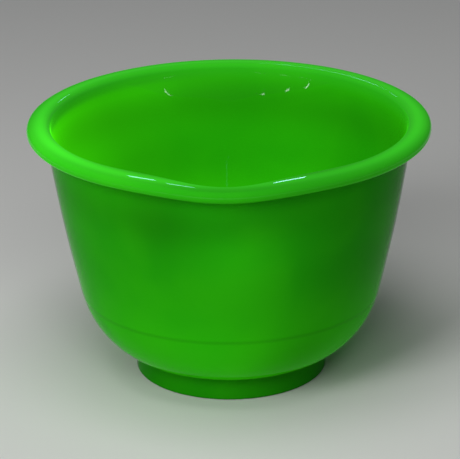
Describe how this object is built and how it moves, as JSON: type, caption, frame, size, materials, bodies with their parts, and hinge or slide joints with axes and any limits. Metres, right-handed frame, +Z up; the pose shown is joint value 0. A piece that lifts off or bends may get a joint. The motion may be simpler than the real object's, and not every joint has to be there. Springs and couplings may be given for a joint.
{
  "type": "mixing bowl",
  "caption": "Small round pressed-glass mixing bowl with a wide flat lip, a pouring spout, rounded heel and a low foot ring.",
  "frame": {"origin": "on the bowl's axis, on the surface that the foot ring stands on", "axes": "+Z up along the bowl's axis, -Y towards the pouring spout, +X to the right of the spout as seen from in front of it"},
  "size_m": [0.165, 0.1673, 0.108],
  "materials": {
    "green_glass": "milky green pressed glass, fire-polished and glossy, glowing green under ultraviolet light"
  },
  "bodies": {
    "root": {"mixing_bowl": "green_glass"}
  },
  "joints": []
}
